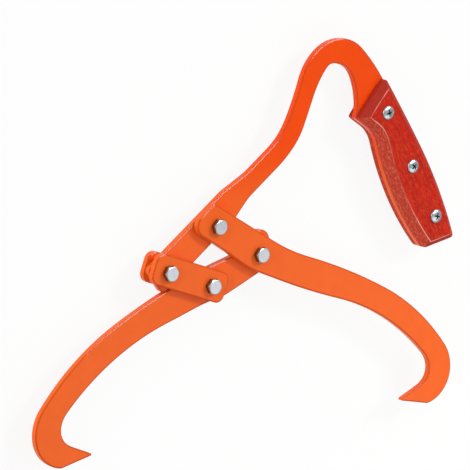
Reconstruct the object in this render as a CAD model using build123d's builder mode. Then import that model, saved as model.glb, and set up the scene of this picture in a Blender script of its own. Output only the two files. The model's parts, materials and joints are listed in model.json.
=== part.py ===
from build123d import *
import os

# Log tongs: two hooked jaws, a swan-neck handle with a wooden grip, and a pair of short links,
# joined by four pivot bolts. They lie flat on their back with the jaws open.
# X runs across the spread of the jaws, Y from the hooks to the handle, Z up through three layers of
# plate: the rear link, then the handle and the left jaw, then the right jaw and the front link.
# Until the last section the origin is the main pivot, on the back face of the rear link.

# Plate, and the running gap between two layers of it
plate = 5.0
layer_gap = 0.1
edge_round = 0.7

# Pivots with the jaws open: centre distances, and directions in degrees from X
main_to_jaw = 44.46
main_to_jaw_angle = -33.9
main_to_link = 49.54
main_to_link_angle = 212.9
link_centres = 39.1
link_angle = -21.45

# Pivot bolts and lock nuts; the link bolt has spare room in the left jaw, where the linkage is open
bolt_diameter = 6.0
pivot_clearance = 0.05
open_pivot_clearance = 1.8
hex_wall = 2.0
head_turns = (-13.0, -5.0, -1.0, -9.0)
head_height = 4.0
hex_bevel = 0.3
nut_hex_height = 4.4
nut_collar_height = 1.6
nut_collar_wall = 0.5
nut_play = 0.05
thread_clearance = 0.03
insert_wall = 1.0
insert_height = 1.3
insert_lip = 0.4
insert_lip_width = 0.5
bolt_tail = 1.5
bolt_end_bevel = 0.6

# Lower bar of the handle, measured along and across its own direction from the main pivot
bar_angle = 35.6
bar_width = 22.4
bar_centre = 1.9
bar_past_link_bolt = 10.7
bar_corner = 4.0
neck_width = 15.0
neck_centre = 2.2
shoulder_outer_start = 20.0
shoulder_outer_end = 43.0
shoulder_inner_start = 15.0
shoulder_inner_end = 34.0
elbow_start_outer = 68.4
elbow_start_inner = 65.0

# Swan neck: the elbow and the middle of the arch from the main pivot
elbow = Vector(67.2, 50.8)
elbow_outer = Vector(-2.1, 14.6)
elbow_inner_low = Vector(2.8, -4.8)
elbow_inner_high = Vector(12.4, 10.0)
arch_x = 107.5
arch_y = 82.0
arch_outer_right = Vector(24.0, 28.3)
arch_outer_top = Vector(3.1, 37.0)
arch_outer_left = Vector(-15.2, 31.4)
neck_outer_top = Vector(-30.4, 11.4)
arch_inner_foot = Vector(19.9, -10.0)
arch_inner_right = Vector(15.0, 9.7)
arch_inner_high = Vector(7.1, 17.6)
arch_inner_top = Vector(-3.5, 20.3)
arch_inner_left = Vector(-6.3, 19.2)
neck_inner_top = Vector(-19.3, -0.9)

# Grip: its front edge from the middle of the arch, then its length and its butt
grip_front_back = Vector(42.3, 6.0)
grip_front_beak = Vector(18.2, -21.4)
grip_front_bow = 0.6
grip_length = 130.2
grip_angle = -60.3
grip_back_heading = -56.5
grip_back_middle = Vector(33.2, -52.5)
butt_width = 28.2
butt_angle = 9.7
grip_front_corner = 2.8
butt_corner = 2.5
beak_corner = 1.5
finger_groove_high = Vector(10.6, -7.5)
finger_groove_low = Vector(20.0, -20.6)
butt_belly_heading = 130.0
scale_thickness = 8.5
scale_bevel = 4.8

# Grip screws and the barrel nuts that take them
screw_front_inset = 14.7
screw_rear_inset = 22.4
screw_middle_shift = 1.25
screw_offset = 3.8
screw_diameter = 4.0
screw_length = 15.0
screw_clearance = 0.05
screw_head_diameter = 10.0
screw_head_height = 2.2
screw_head_round = 1.9
barrel_wall = 0.95
barrel_short = 1.5
recess_length = 5.0
recess_width = 1.1
recess_depth = 1.3

# Hook, drawn from the centre of its curve on the right jaw and mirrored for the left one
hook_back = Vector(22.2, 17.1)
hook_side = Vector(28.0, 0.0)
hook_foot = Vector(6.0, -25.1)
hook_tip = Vector(-20.5, -18.6)
throat_low = Vector(-0.6, -10.3)
throat_deep = Vector(7.2, 1.9)
throat_high = Vector(3.03, 12.3)
arm_outer = Vector(-36.2, 68.5)
arm_inner = Vector(-78.2, 66.1)
hook_tip_corner = 0.9
hook_foot_corner = 1.5

# Right jaw: hook from the jaw pivot, heel along the line of its two pivots
right_reach = 149.3
right_drop = 108.1
heel_width = 24.1
heel_offset = -0.05
heel_past_pivot = 16.0
heel_slant = 8.5
heel_small_corner = 2.0
heel_large_corner = 8.0
right_bend_start = Vector(12.1, 8.0)
right_bend_end = Vector(43.1, -7.4)
right_belly = (Vector(23.1, -23.4), Vector(-2.9, -11.8), Vector(-14.9, -4.8))

# Left jaw: hook from the jaw pivot, and its heel round that pivot
left_reach = 158.5
left_drop = 101.1
left_turn = 2.7
left_heel_corner = 6.0
left_heel_low = Vector(18.4, -7.6)
left_heel_side = Vector(11.3, 11.0)
left_heel_crest = Vector(2.8, 16.3)
left_heel_fall = Vector(-4.6, 12.1)
left_waist = Vector(-22.4, 0.4)
left_back = Vector(-89.5, -20.9)
left_belly = (Vector(-8.8, -14.7), Vector(7.2, -11.4), Vector(17.2, -8.9))

# Links, which are a pair with one outline
link_width = 22.0
link_offset = 0.6
link_past_handle_bolt = 13.4
link_past_jaw_bolt = 12.7
link_handle_corner = 6.5
link_jaw_corner = 6.0

# Heights of the layers
rear_z = 0.0
middle_z = rear_z + plate + layer_gap
front_z = middle_z + plate + layer_gap
head_z = front_z + plate

# Round stock that stands on a height, or hangs below it
up = (Align.CENTER, Align.CENTER, Align.MIN)
down = (Align.CENTER, Align.CENTER, Align.MAX)


def polar(length, degrees):
    return Vector(length, 0).rotate(Axis.Z, degrees)


# Places of the pivots and of the corners of the grip
main_pivot = Vector(0, 0)
jaw_pivot = polar(main_to_jaw, main_to_jaw_angle)
handle_link_pivot = polar(main_to_link, main_to_link_angle)
jaw_link_pivot = handle_link_pivot + polar(link_centres, link_angle)
pivot_hole = bolt_diameter + 2 * pivot_clearance
open_hole = bolt_diameter + 2 * open_pivot_clearance
hex_across = bolt_diameter + 2 * hex_wall
insert_diameter = bolt_diameter + 2 * insert_wall
nut_collar_diameter = insert_diameter + 2 * nut_collar_wall

arch = Vector(arch_x, arch_y)
grip_top = arch + grip_front_back
beak = arch + grip_front_beak
grip_front = (grip_top + beak) * 0.5
grip_butt = grip_front + polar(grip_length, grip_angle)
butt_back = grip_butt + polar(butt_width / 2, butt_angle)
butt_belly = grip_butt - polar(butt_width / 2, butt_angle)
grip_corners = (
    (butt_back, butt_corner),
    (butt_belly, butt_corner),
    (grip_top, grip_front_corner),
    (beak, beak_corner),
)
barrel_hole = screw_diameter + 2 * screw_clearance
barrel_diameter = barrel_hole + 2 * barrel_wall
grip_hole = barrel_diameter + 2 * screw_clearance
screw_rear = grip_length - screw_rear_inset
screw_middle = (screw_front_inset + screw_rear) / 2 + screw_middle_shift
screw_line = grip_front + polar(screw_offset, grip_angle + 90)
screw_spots = [screw_line + polar(s, grip_angle) for s in (screw_front_inset, screw_middle, screw_rear)]


def arcs(start, heading, *points):
    """Arcs from point to point, each one leaving in the direction in which the last arrived."""
    for point in points:
        arc = TangentArc(start, point, tangent=heading)
        start = point
        heading = arc % 1
    return heading


def round_corner(sketch, point, radius):
    fillet(sketch.vertices().sort_by_distance(point)[0], radius)


def pivot_holes(z, centres, diameter):
    """Round holes through one layer of plate."""
    with Locations(*[(centre.X, centre.Y, z) for centre in centres]):
        Cylinder(diameter / 2, plate, align=up, mode=Mode.SUBTRACT)


def ease_plate(part):
    """The rounded arrises on the outline of a plate, front and back."""
    for face in (part.faces().sort_by(Axis.Z)[0], part.faces().sort_by(Axis.Z)[-1]):
        fillet(face.outer_wire().edges(), edge_round)


# Handle bar: shoulder, swan neck, arch and the tang that lies between the scales
def on_bar(along, across):
    return polar(along, bar_angle) + polar(across, bar_angle + 90)


def grip_sides():
    """Back, butt and belly of the grip, from the top of its front edge round to the beak."""
    arcs(grip_top, polar(1, grip_back_heading), grip_top + grip_back_middle, butt_back)
    Line(butt_back, butt_belly)
    arcs(butt_belly, polar(1, butt_belly_heading), beak + finger_groove_low, beak + finger_groove_high)
    Line(beak + finger_groove_high, beak)


bar_end = -main_to_link - bar_past_link_bolt
bar_outer = bar_centre + bar_width / 2
bar_inner = bar_centre - bar_width / 2
neck_outer = neck_centre + neck_width / 2
neck_inner = neck_centre - neck_width / 2
bar_end_outer = on_bar(bar_end, bar_outer)
bar_end_inner = on_bar(bar_end, bar_inner)
bend_outer = on_bar(elbow_start_outer, neck_outer)
bend_inner = on_bar(elbow_start_inner, neck_inner)

with BuildPart() as handle_bar:
    with BuildSketch(Plane.XY.offset(middle_z)) as handle_face:
        with BuildLine():
            grip_sides()
            arcs(
                grip_top,
                polar(-1, grip_back_heading),
                arch + arch_outer_right,
                arch + arch_outer_top,
                arch + arch_outer_left,
                arch + neck_outer_top,
                elbow + elbow_outer,
                bend_outer,
            )
            Polyline(
                bend_outer,
                on_bar(shoulder_outer_end, neck_outer),
                on_bar(shoulder_outer_start, bar_outer),
                bar_end_outer,
                bar_end_inner,
                on_bar(shoulder_inner_start, bar_inner),
                on_bar(shoulder_inner_end, neck_inner),
                bend_inner,
            )
            arcs(
                bend_inner,
                polar(1, bar_angle),
                elbow + elbow_inner_low,
                elbow + elbow_inner_high,
                arch + neck_inner_top,
                arch + arch_inner_left,
                arch + arch_inner_top,
                arch + arch_inner_high,
                arch + arch_inner_right,
                arch + arch_inner_foot,
                beak,
            )
        make_face()
        for corner in (bar_end_outer, bar_end_inner):
            round_corner(handle_face, corner, bar_corner)
        for corner in (butt_back, butt_belly):
            round_corner(handle_face, corner, butt_corner)
        round_corner(handle_face, beak, beak_corner)
    extrude(amount=plate)
    ease_plate(handle_bar)
    pivot_holes(middle_z, (main_pivot, handle_link_pivot), pivot_hole)
    pivot_holes(middle_z, screw_spots, grip_hole)


# Wooden scales on both faces of the tang, bevelled all round their outer face
def grip_scale(z, thickness):
    with BuildPart() as scale:
        with BuildSketch(Plane.XY.offset(z)) as face:
            with BuildLine():
                grip_sides()
                SagittaArc(beak, grip_top, grip_front_bow)
            make_face()
        extrude(amount=thickness)
        outer = scale.faces().filter_by(Axis.Z).sort_by(lambda f: abs(f.center().Z - z))[-1]
        chamfer(outer.outer_wire().edges(), scale_bevel)
        for corner, radius in grip_corners:
            upright = scale.edges().filter_by(Axis.Z).sort_by_distance((corner.X, corner.Y, z))[0]
            bevel_end = upright.vertices().sort_by(lambda v: abs(v.Z - z))[-1]
            slanted = [e for e in scale.edges() if bevel_end in e.vertices() and abs(e.tangent_at(0).Z) > 0.1]
            fillet(slanted, radius)
        with BuildSketch(Plane.XY.offset(z)):
            with Locations(*screw_spots):
                Circle(grip_hole / 2)
        extrude(amount=thickness, mode=Mode.SUBTRACT)
    return scale


scale_z = middle_z + plate
grip_face_z = scale_z + scale_thickness
grip_back_z = middle_z - scale_thickness
front_scale = grip_scale(scale_z, scale_thickness)
rear_scale = grip_scale(middle_z, -scale_thickness)


# Jaws: one hook shape, turned to its place on each side
def on_right_hook(point):
    return jaw_pivot + Vector(right_reach, -right_drop) + point


def on_left_hook(point):
    turned = Vector(-point.X, point.Y).rotate(Axis.Z, -left_turn)
    return jaw_pivot + Vector(-left_reach, -left_drop) + turned


hook_corners = ((hook_tip, hook_tip_corner), (hook_foot, hook_foot_corner))


def hook_edges(place, heading):
    """From the outer edge of the arm round the hook to its inner edge; gives the heading there."""
    arcs(place(arm_outer), heading, place(hook_back), place(hook_side), place(hook_foot))
    Polyline(place(hook_foot), place(hook_tip), place(throat_low))
    start = place(throat_low)
    return arcs(start, start - place(hook_tip), place(throat_deep), place(throat_high), place(arm_inner))


def on_heel(along, across):
    return polar(along, main_to_jaw_angle) + polar(heel_offset + across, main_to_jaw_angle + 90)


heel_high = on_heel(heel_slant / 2 - heel_past_pivot, heel_width / 2)
heel_low = on_heel(-heel_slant / 2 - heel_past_pivot, -heel_width / 2)

with BuildPart() as right_jaw:
    with BuildSketch(Plane.XY.offset(front_z)) as right_face:
        with BuildLine():
            bend_start = jaw_pivot + right_bend_start
            bend_end = jaw_pivot + right_bend_end
            Polyline(heel_low, heel_high, bend_start)
            heading = arcs(bend_start, bend_start - heel_high, bend_end, on_right_hook(arm_outer))
            heading = hook_edges(on_right_hook, heading)
            belly = [jaw_pivot + point for point in right_belly]
            arcs(on_right_hook(arm_inner), heading, *belly, heel_low)
        make_face()
        round_corner(right_face, heel_high, heel_small_corner)
        round_corner(right_face, heel_low, heel_large_corner)
        for point, radius in hook_corners:
            round_corner(right_face, on_right_hook(point), radius)
    extrude(amount=plate)
    ease_plate(right_jaw)
    pivot_holes(front_z, (main_pivot, jaw_pivot), pivot_hole)

with BuildPart() as left_jaw:
    with BuildSketch(Plane.XY.offset(middle_z)) as left_face:
        with BuildLine():
            low_corner = jaw_pivot + left_heel_low
            side = jaw_pivot + left_heel_side
            Line(low_corner, side)
            heading = arcs(
                side,
                side - low_corner,
                jaw_pivot + left_heel_crest,
                jaw_pivot + left_heel_fall,
                jaw_pivot + left_waist,
                jaw_pivot + left_back,
                on_left_hook(arm_outer),
            )
            heading = hook_edges(on_left_hook, heading)
            belly = [jaw_link_pivot + point for point in left_belly]
            arcs(on_left_hook(arm_inner), heading, *belly, low_corner)
        make_face()
        round_corner(left_face, low_corner, left_heel_corner)
        for point, radius in hook_corners:
            round_corner(left_face, on_left_hook(point), radius)
    extrude(amount=plate)
    ease_plate(left_jaw)
    pivot_holes(middle_z, (jaw_pivot,), pivot_hole)
    pivot_holes(middle_z, (jaw_link_pivot,), open_hole)


# Links: a plate in front and one behind, with the handle and the left jaw between them
def link_plate(z):
    length = link_past_handle_bolt + link_centres + link_past_jaw_bolt
    middle = (link_centres + link_past_jaw_bolt - link_past_handle_bolt) / 2
    with BuildPart() as link:
        with BuildSketch(Plane((handle_link_pivot.X, handle_link_pivot.Y, z), x_dir=polar(1, link_angle))) as face:
            with Locations((middle, link_offset)):
                Rectangle(length, link_width)
            fillet(face.vertices().group_by(Axis.X)[0], link_handle_corner)
            fillet(face.vertices().group_by(Axis.X)[-1], link_jaw_corner)
        extrude(amount=plate)
        ease_plate(link)
        pivot_holes(z, (handle_link_pivot, jaw_link_pivot), pivot_hole)
    return link


front_link = link_plate(front_z)
rear_link = link_plate(rear_z)


# Pivot bolts, their lock nuts and the nylon rings inside those
cone_run = 3 ** 0.5


def hex_blank(centre, z, height, turn):
    """A hexagon as high as height, with the corners of its far end turned off by a thirty-degree cone."""
    with BuildSketch(Plane.XY.offset(z)) as hexagon:
        with Locations(centre):
            RegularPolygon(hex_across / 2, 6, major_radius=False, rotation=turn)
    extrude(hexagon.sketch, amount=height)
    small = hex_across / 2 - hex_bevel
    large = small + abs(height) * cone_run
    bottom = min(z, z + height)
    with Locations((centre.X, centre.Y, bottom)):
        if height > 0:
            Cone(large, small, height, align=up, mode=Mode.INTERSECT)
        else:
            Cone(small, large, -height, align=up, mode=Mode.INTERSECT)


def pivot_bolt(centre, plate_back, turn):
    end = plate_back - nut_play - nut_hex_height - nut_collar_height - bolt_tail
    with BuildPart() as bolt:
        hex_blank(centre, head_z, head_height, turn)
        with Locations((centre.X, centre.Y, head_z)):
            Cylinder(bolt_diameter / 2, head_z - end, align=down)
        chamfer(bolt.edges().group_by(Axis.Z)[0], bolt_end_bevel)
    return bolt


def lock_nut(centre, plate_back, turn):
    seat = plate_back - nut_play
    collar = seat - nut_hex_height
    end = collar - nut_collar_height
    with BuildPart() as nut:
        hex_blank(centre, seat, -nut_hex_height, turn)
        with Locations((centre.X, centre.Y, collar)):
            Cylinder(nut_collar_diameter / 2, nut_collar_height, align=down)
        with Locations((centre.X, centre.Y, seat)):
            Cylinder(bolt_diameter / 2 + thread_clearance, seat - end, align=down, mode=Mode.SUBTRACT)
        with Locations((centre.X, centre.Y, end + insert_lip)):
            Cylinder(insert_diameter / 2, insert_height, align=up, mode=Mode.SUBTRACT)
        with Locations((centre.X, centre.Y, end)):
            Cylinder(insert_diameter / 2 - insert_lip_width, insert_lip, align=up, mode=Mode.SUBTRACT)
    return nut


def nylon_insert(centre, plate_back):
    end = plate_back - nut_play - nut_hex_height - nut_collar_height
    with BuildPart() as ring:
        with Locations((centre.X, centre.Y, end + insert_lip)):
            Cylinder(insert_diameter / 2 - thread_clearance, insert_height, align=up)
            Cylinder(bolt_diameter / 2 + thread_clearance, insert_height, align=up, mode=Mode.SUBTRACT)
    return ring


# Grip screws from the front into barrel nuts from the back
def grip_screw(centre):
    with BuildPart() as screw:
        with Locations((centre.X, centre.Y, grip_face_z)):
            Cylinder(screw_head_diameter / 2, screw_head_height, align=up)
        fillet(screw.edges().group_by(Axis.Z)[-1], screw_head_round)
        with Locations((centre.X, centre.Y, grip_face_z)):
            Cylinder(screw_diameter / 2, screw_length, align=down)
        with Locations((centre.X, centre.Y, grip_face_z + screw_head_height)):
            Box(recess_length, recess_width, recess_depth, align=down, mode=Mode.SUBTRACT)
            Box(recess_width, recess_length, recess_depth, align=down, mode=Mode.SUBTRACT)
    return screw


def barrel_nut(centre):
    with BuildPart() as barrel:
        with Locations((centre.X, centre.Y, grip_back_z)):
            Cylinder(screw_head_diameter / 2, screw_head_height, align=down)
        fillet(barrel.edges().group_by(Axis.Z)[0], screw_head_round)
        with Locations((centre.X, centre.Y, grip_back_z)):
            Cylinder(barrel_diameter / 2, grip_face_z - grip_back_z - barrel_short, align=up)
            Cylinder(
                barrel_hole / 2,
                grip_face_z - grip_back_z - barrel_short,
                align=up,
                mode=Mode.SUBTRACT,
            )
        with Locations((centre.X, centre.Y, grip_back_z - screw_head_height)):
            Box(recess_length, recess_width, recess_depth, align=up, mode=Mode.SUBTRACT)
    return barrel


pieces = {
    "handle_bar": handle_bar,
    "right_jaw": right_jaw,
    "left_jaw": left_jaw,
    "front_link": front_link,
    "rear_link": rear_link,
    "front_scale": front_scale,
    "rear_scale": rear_scale,
}
pivots = {
    "main_pivot": (main_pivot, middle_z),
    "jaw_pivot": (jaw_pivot, middle_z),
    "handle_link": (handle_link_pivot, rear_z),
    "jaw_link": (jaw_link_pivot, rear_z),
}
for (name, (centre, plate_back)), turn in zip(pivots.items(), head_turns):
    pieces[f"{name}_bolt"] = pivot_bolt(centre, plate_back, turn)
    pieces[f"{name}_nut"] = lock_nut(centre, plate_back, turn)
    pieces[f"{name}_insert"] = nylon_insert(centre, plate_back)
for name, centre in zip(("front", "middle", "rear"), screw_spots):
    pieces[f"grip_screw_{name}"] = grip_screw(centre)
    pieces[f"grip_barrel_{name}"] = barrel_nut(centre)

# The origin moves to the middle of the bottom of the whole, on the surface that the tongs lie on
boxes = [piece.part.bounding_box() for piece in pieces.values()]
low = [min(getattr(box.min, axis) for box in boxes) for axis in "XYZ"]
high = [max(getattr(box.max, axis) for box in boxes) for axis in "XYZ"]
shift = Vector(-(low[0] + high[0]) / 2, -(low[1] + high[1]) / 2, -low[2])

os.makedirs("parts", exist_ok=True)
for name, piece in pieces.items():
    piece.part.move(Location(shift))
    piece.part.label = name
    export_step(piece.part, f"parts/{name}.step")

print("size", [round(b - a, 2) for a, b in zip(low, high)])
for name, (centre, plate_back) in pivots.items():
    print(name, [round(v, 3) for v in centre + shift])
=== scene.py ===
"""Finish and studio for a pair of log tongs.

The coated plates, the wooden scales and the fasteners are modelled here as surfaces. Their outlines and
places are read off the construction meshes.
"""

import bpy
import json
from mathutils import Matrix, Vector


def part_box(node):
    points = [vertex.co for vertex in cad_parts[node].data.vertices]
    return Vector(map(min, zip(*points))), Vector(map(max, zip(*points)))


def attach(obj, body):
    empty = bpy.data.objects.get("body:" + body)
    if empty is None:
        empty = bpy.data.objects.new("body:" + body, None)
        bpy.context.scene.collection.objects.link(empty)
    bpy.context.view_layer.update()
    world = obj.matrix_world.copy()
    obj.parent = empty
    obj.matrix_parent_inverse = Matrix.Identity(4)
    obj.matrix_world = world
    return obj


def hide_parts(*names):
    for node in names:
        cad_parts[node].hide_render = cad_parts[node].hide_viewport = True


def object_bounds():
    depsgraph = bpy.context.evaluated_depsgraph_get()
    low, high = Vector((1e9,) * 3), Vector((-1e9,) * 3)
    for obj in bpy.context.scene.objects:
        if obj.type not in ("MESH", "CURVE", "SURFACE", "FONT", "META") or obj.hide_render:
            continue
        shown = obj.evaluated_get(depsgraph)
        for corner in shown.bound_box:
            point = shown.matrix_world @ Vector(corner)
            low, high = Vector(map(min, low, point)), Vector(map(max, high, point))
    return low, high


bl_info = {
    "name": "Log tongs",
    "version": (1, 0, 0),
    "blender": (4, 5, 0),
    "location": "View3D > Sidebar > Log tongs",
    "description": "Coated plates, wooden grip scales and zinc-plated fasteners of a pair of log tongs",
    "category": "Object",
}

import json

import bpy
import numpy as np
from bpy.props import FloatProperty, FloatVectorProperty, PointerProperty
from mathutils import Matrix, Quaternion, Vector
from mathutils.geometry import tessellate_polygon

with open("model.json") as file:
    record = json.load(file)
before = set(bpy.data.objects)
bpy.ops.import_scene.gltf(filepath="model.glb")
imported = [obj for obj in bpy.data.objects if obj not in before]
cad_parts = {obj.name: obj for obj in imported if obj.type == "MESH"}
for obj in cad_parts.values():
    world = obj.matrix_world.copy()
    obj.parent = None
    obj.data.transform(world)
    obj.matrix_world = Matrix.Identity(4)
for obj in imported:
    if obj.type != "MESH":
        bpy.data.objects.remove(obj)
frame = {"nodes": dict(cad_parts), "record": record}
cad_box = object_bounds()

MM = 0.001
PLATES = ("handle_bar", "right_jaw", "left_jaw", "front_link", "rear_link")
PIVOTS = ("main_pivot", "jaw_pivot", "handle_link", "jaw_link")
GRIP_PLACES = ("front", "middle", "rear")
DRIVER_TURNS = np.radians((12.0, 40.0, 75.0))
ARRIS_STEPS = 7
BODY_OF = {node: body for body, nodes in frame["record"]["behaviour"]["bodies"].items() for node in nodes}

# Sockets of a Mix node that mixes colours
MIX_A, MIX_B, MIX_OUT = 6, 7, 2


def linear(hex_colour):
    """Linear red, green, blue and alpha of an sRGB colour such as #F2581E."""
    srgb = np.array([int(hex_colour[at : at + 2], 16) for at in (1, 3, 5)]) / 255
    rgb = np.where(srgb <= 0.04045, srgb / 12.92, ((srgb + 0.055) / 1.055) ** 2.4)
    return (*rgb.tolist(), 1.0)


def colour(name, description, hex_colour):
    """A colour that a user may change."""
    default = linear(hex_colour)
    return FloatVectorProperty(
        name=name, description=description, default=default, size=4, min=0.0, max=1.0, subtype="COLOR"
    )


def length(name, description, millimetres):
    """A length that a user may change."""
    default = millimetres * MM
    return FloatProperty(
        name=name, description=description, default=default, min=0.0, precision=5, subtype="DISTANCE"
    )


def share(name, description, value):
    """A number from none to all that a user may change."""
    return FloatProperty(
        name=name, description=description, default=value, min=0.0, max=1.0, subtype="FACTOR"
    )


def power(name, description, watts):
    """The power of a light."""
    return FloatProperty(name=name, description=description, default=watts, min=0.0, unit="POWER")


def brightness(name, description, strength):
    """The brightness of a side of the studio, where one is white."""
    return FloatProperty(name=name, description=description, default=strength, min=0.0)


def place(name, description, metres):
    """A place in the frame of the tongs."""
    return FloatVectorProperty(name=name, description=description, default=metres, subtype="TRANSLATION")


class PaintSettings(bpy.types.PropertyGroup):
    """Powder coat on the plates."""

    coat: colour("Coat", "Orange of the coat on the handle", "#FA4F06")
    # Painted sheen: the coat is painted lighter and whiter towards the hooks
    hook_sheen: colour("Hook coat", "Lighter orange towards the hooks", "#F8681F")
    shade: colour("Shade", "Light that the thicker patches of the coat keep", "#F4ECE8")
    # Painted shade: the eased edges of the plates are painted a browner orange
    painted_edge_shade: colour("Thin coat", "Browner orange where the coat drew back from the edges", "#BE420F")
    roughness: share("Roughness", "Satin of the coat", 0.2)
    satin_spread: share("Satin spread", "How far the satin varies to either side", 0.05)
    shine: share("Shine", "Strength of the coat's reflections", 0.14)
    patch: length("Patch", "Width of a patch of thicker coat", 12.0)
    peel: length("Orange peel", "Wavelength of the orange peel", 1.7)
    peel_height: length("Peel height", "Height of the orange peel", 0.007)
    edge_width: length("Edge width", "Width of the eased edges on the faces", 1.1)
    edge_drop: length("Edge drop", "Depth of the eased edges down the sides", 0.5)
    edge_round: length("Edge round", "Radius where an eased edge meets the face or the side", 0.2)
    inner_ease: length("Inner ease", "Reach to either side over which an inner corner is eased", 4.0)
    tang_ease: share("Tang ease", "Share of the eased edges that is left under the scales", 0.2)


class WoodSettings(bpy.types.PropertyGroup):
    """Stained hardwood scales."""

    face: colour("Face", "Stain on the broad faces", "#C61D08")
    streak: colour("Streak", "Darker streaks of the grain", "#A81508")
    fleck: colour("Fleck", "Lighter flecks of the grain", "#DC4C1A")
    bevel: colour("Bevel", "Duller stain on the bevels and sides", "#C23C27")
    fibre: colour("Fibre", "Paler fibres on the bevels, which took less stain", "#E0826C")
    end_grain: colour("End grain", "Darker stain across the grain and on the outer bevel", "#A82A1E")
    worn: colour("Worn edge", "Wood rubbed pale along the edge of the face", "#F8BFAC")
    roughness: share("Roughness", "Satin of the varnish", 0.45)
    bevel_roughness: share("Bevel roughness", "Duller satin of the bevels", 0.75)
    shine: share("Shine", "Strength of the varnish's reflections", 0.13)
    streak_width: length("Streak width", "Width of a streak of grain", 3.0)
    fibre_width: length("Fibre width", "Width of a fibre, drawn coarse enough to show", 0.7)
    fibre_depth: length("Fibre depth", "Depth between the fibres", 0.04)
    rub: length("Rubbed stretch", "Length of a rubbed stretch of the edge", 16.0)
    bevel_width: length("Bevel", "Width of the bevel", 4.8)
    arris: length("Arris", "Radius to which the arrises are sanded", 0.7)


class ZincSettings(bpy.types.PropertyGroup):
    """Zinc-plated fasteners."""

    plate: colour("Plate", "Bright zinc", "#C0C2CA")
    green: colour("Green tint", "Green tint of the passivated zinc", "#B4CFC8")
    pink: colour("Pink tint", "Pink tint of the passivated zinc", "#C6B8C4")
    # Painted shade in the recesses and on the flats of the heads
    painted_shade: colour("Grime", "Dark oil that stays in recesses and on the flats of the heads", "#2E3A4C")
    roughness: share("Roughness", "Satin of the plating on the bolts", 0.32)
    polish: share("Polish", "Roughness of the polished grip screws", 0.24)
    green_width: length("Green width", "Width of a green cloud", 2.6)
    pink_width: length("Pink width", "Width of a pink cloud", 3.4)
    grain_width: length("Grain width", "Width of the forged grain, drawn coarse enough to show", 0.4)
    grain_height: length("Grain height", "Height of the forged grain", 0.006)
    bolt: length("Bolt", "Diameter of the pivot bolts", 6.0)
    pitch: length("Pitch", "Pitch of the bolt's thread", 1.0)
    turned_edge: length("Turned edge", "Width that the turned cone takes off a hexagon's flats", 0.3)
    collar_height: length("Collar height", "Height of the round collar on a lock nut", 1.6)
    collar: length("Collar", "Diameter of that collar", 9.0)
    edge: length("Edge", "Radius of the edges", 0.2)
    recess: length("Recess", "Length of the arms of the cross recess", 5.0)


class NylonSettings(bpy.types.PropertyGroup):
    """Nylon inserts of the lock nuts."""

    milk: colour("Milk", "Milky white of the nylon", "#E9E6DA")
    mottle: colour("Mottle", "Duller mottle in it", "#DAD6C6")
    roughness: share("Roughness", "Matt finish from the mould", 0.5)
    mottle_width: length("Mottle width", "Width of a spot of the mottle", 0.6)
    mottle_height: length("Mottle height", "Height of the mottle", 0.01)


class StageSettings(bpy.types.PropertyGroup):
    """Floor, light and camera."""

    floor: colour("Floor", "Pale floor", "#F6F6F4")
    shadow_kept: share("Shadow kept", "Share of the floor's own light and shade that the camera sees", 0.1)
    key: power("Key", "Power of the key light", 38.0)
    glint: power("Glint", "Power of the softbox that the eased edges mirror", 84.0)
    fill: power("Fill", "Power of the light that brightens the left sides", 5.0)
    sheen: power("Sheen", "Power of the softbox that the jaws mirror", 0.54)
    walls: brightness("Walls", "Brightness of the white walls behind and on the left", 1.3)
    dim_walls: brightness("Dim walls", "Brightness of the walls in front and on the right", 0.4)
    ceiling: brightness("Ceiling", "Brightness of the grey ceiling", 0.5)
    focal: FloatProperty(
        name="Focal length",
        description="Focal length on a 36 mm sensor",
        default=246.03,
        subtype="DISTANCE_CAMERA",
    )
    eye: place("Eye", "Place of the camera", (-1.33397, 0.49059, 1.73705))
    aim: place("Aim", "Place that the camera looks at", (-0.01636, 0.0109, 0.02))


class LogTongsSettings(bpy.types.PropertyGroup):
    """All settings of the tongs."""

    paint: PointerProperty(type=PaintSettings)
    wood: PointerProperty(type=WoodSettings)
    zinc: PointerProperty(type=ZincSettings)
    nylon: PointerProperty(type=NylonSettings)
    stage: PointerProperty(type=StageSettings)


def settings():
    """The settings of the open scene."""
    return bpy.context.scene.log_tongs


def add_node(tree, kind, inputs=None, **properties):
    """Adds a node, sets its properties, and sets or links its inputs."""
    made = tree.nodes.new(kind)
    for key, value in properties.items():
        setattr(made, key, value)
    for key, value in (inputs or {}).items():
        if isinstance(value, bpy.types.NodeSocket):
            tree.links.new(value, made.inputs[key])
        else:
            made.inputs[key].default_value = value
    return made


def empty_material(name):
    """The material of that name with nothing in it, and its node tree."""
    material = bpy.data.materials.get(name) or bpy.data.materials.new(name)
    material.use_nodes = True
    material.node_tree.nodes.clear()
    return material, material.node_tree


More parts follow.
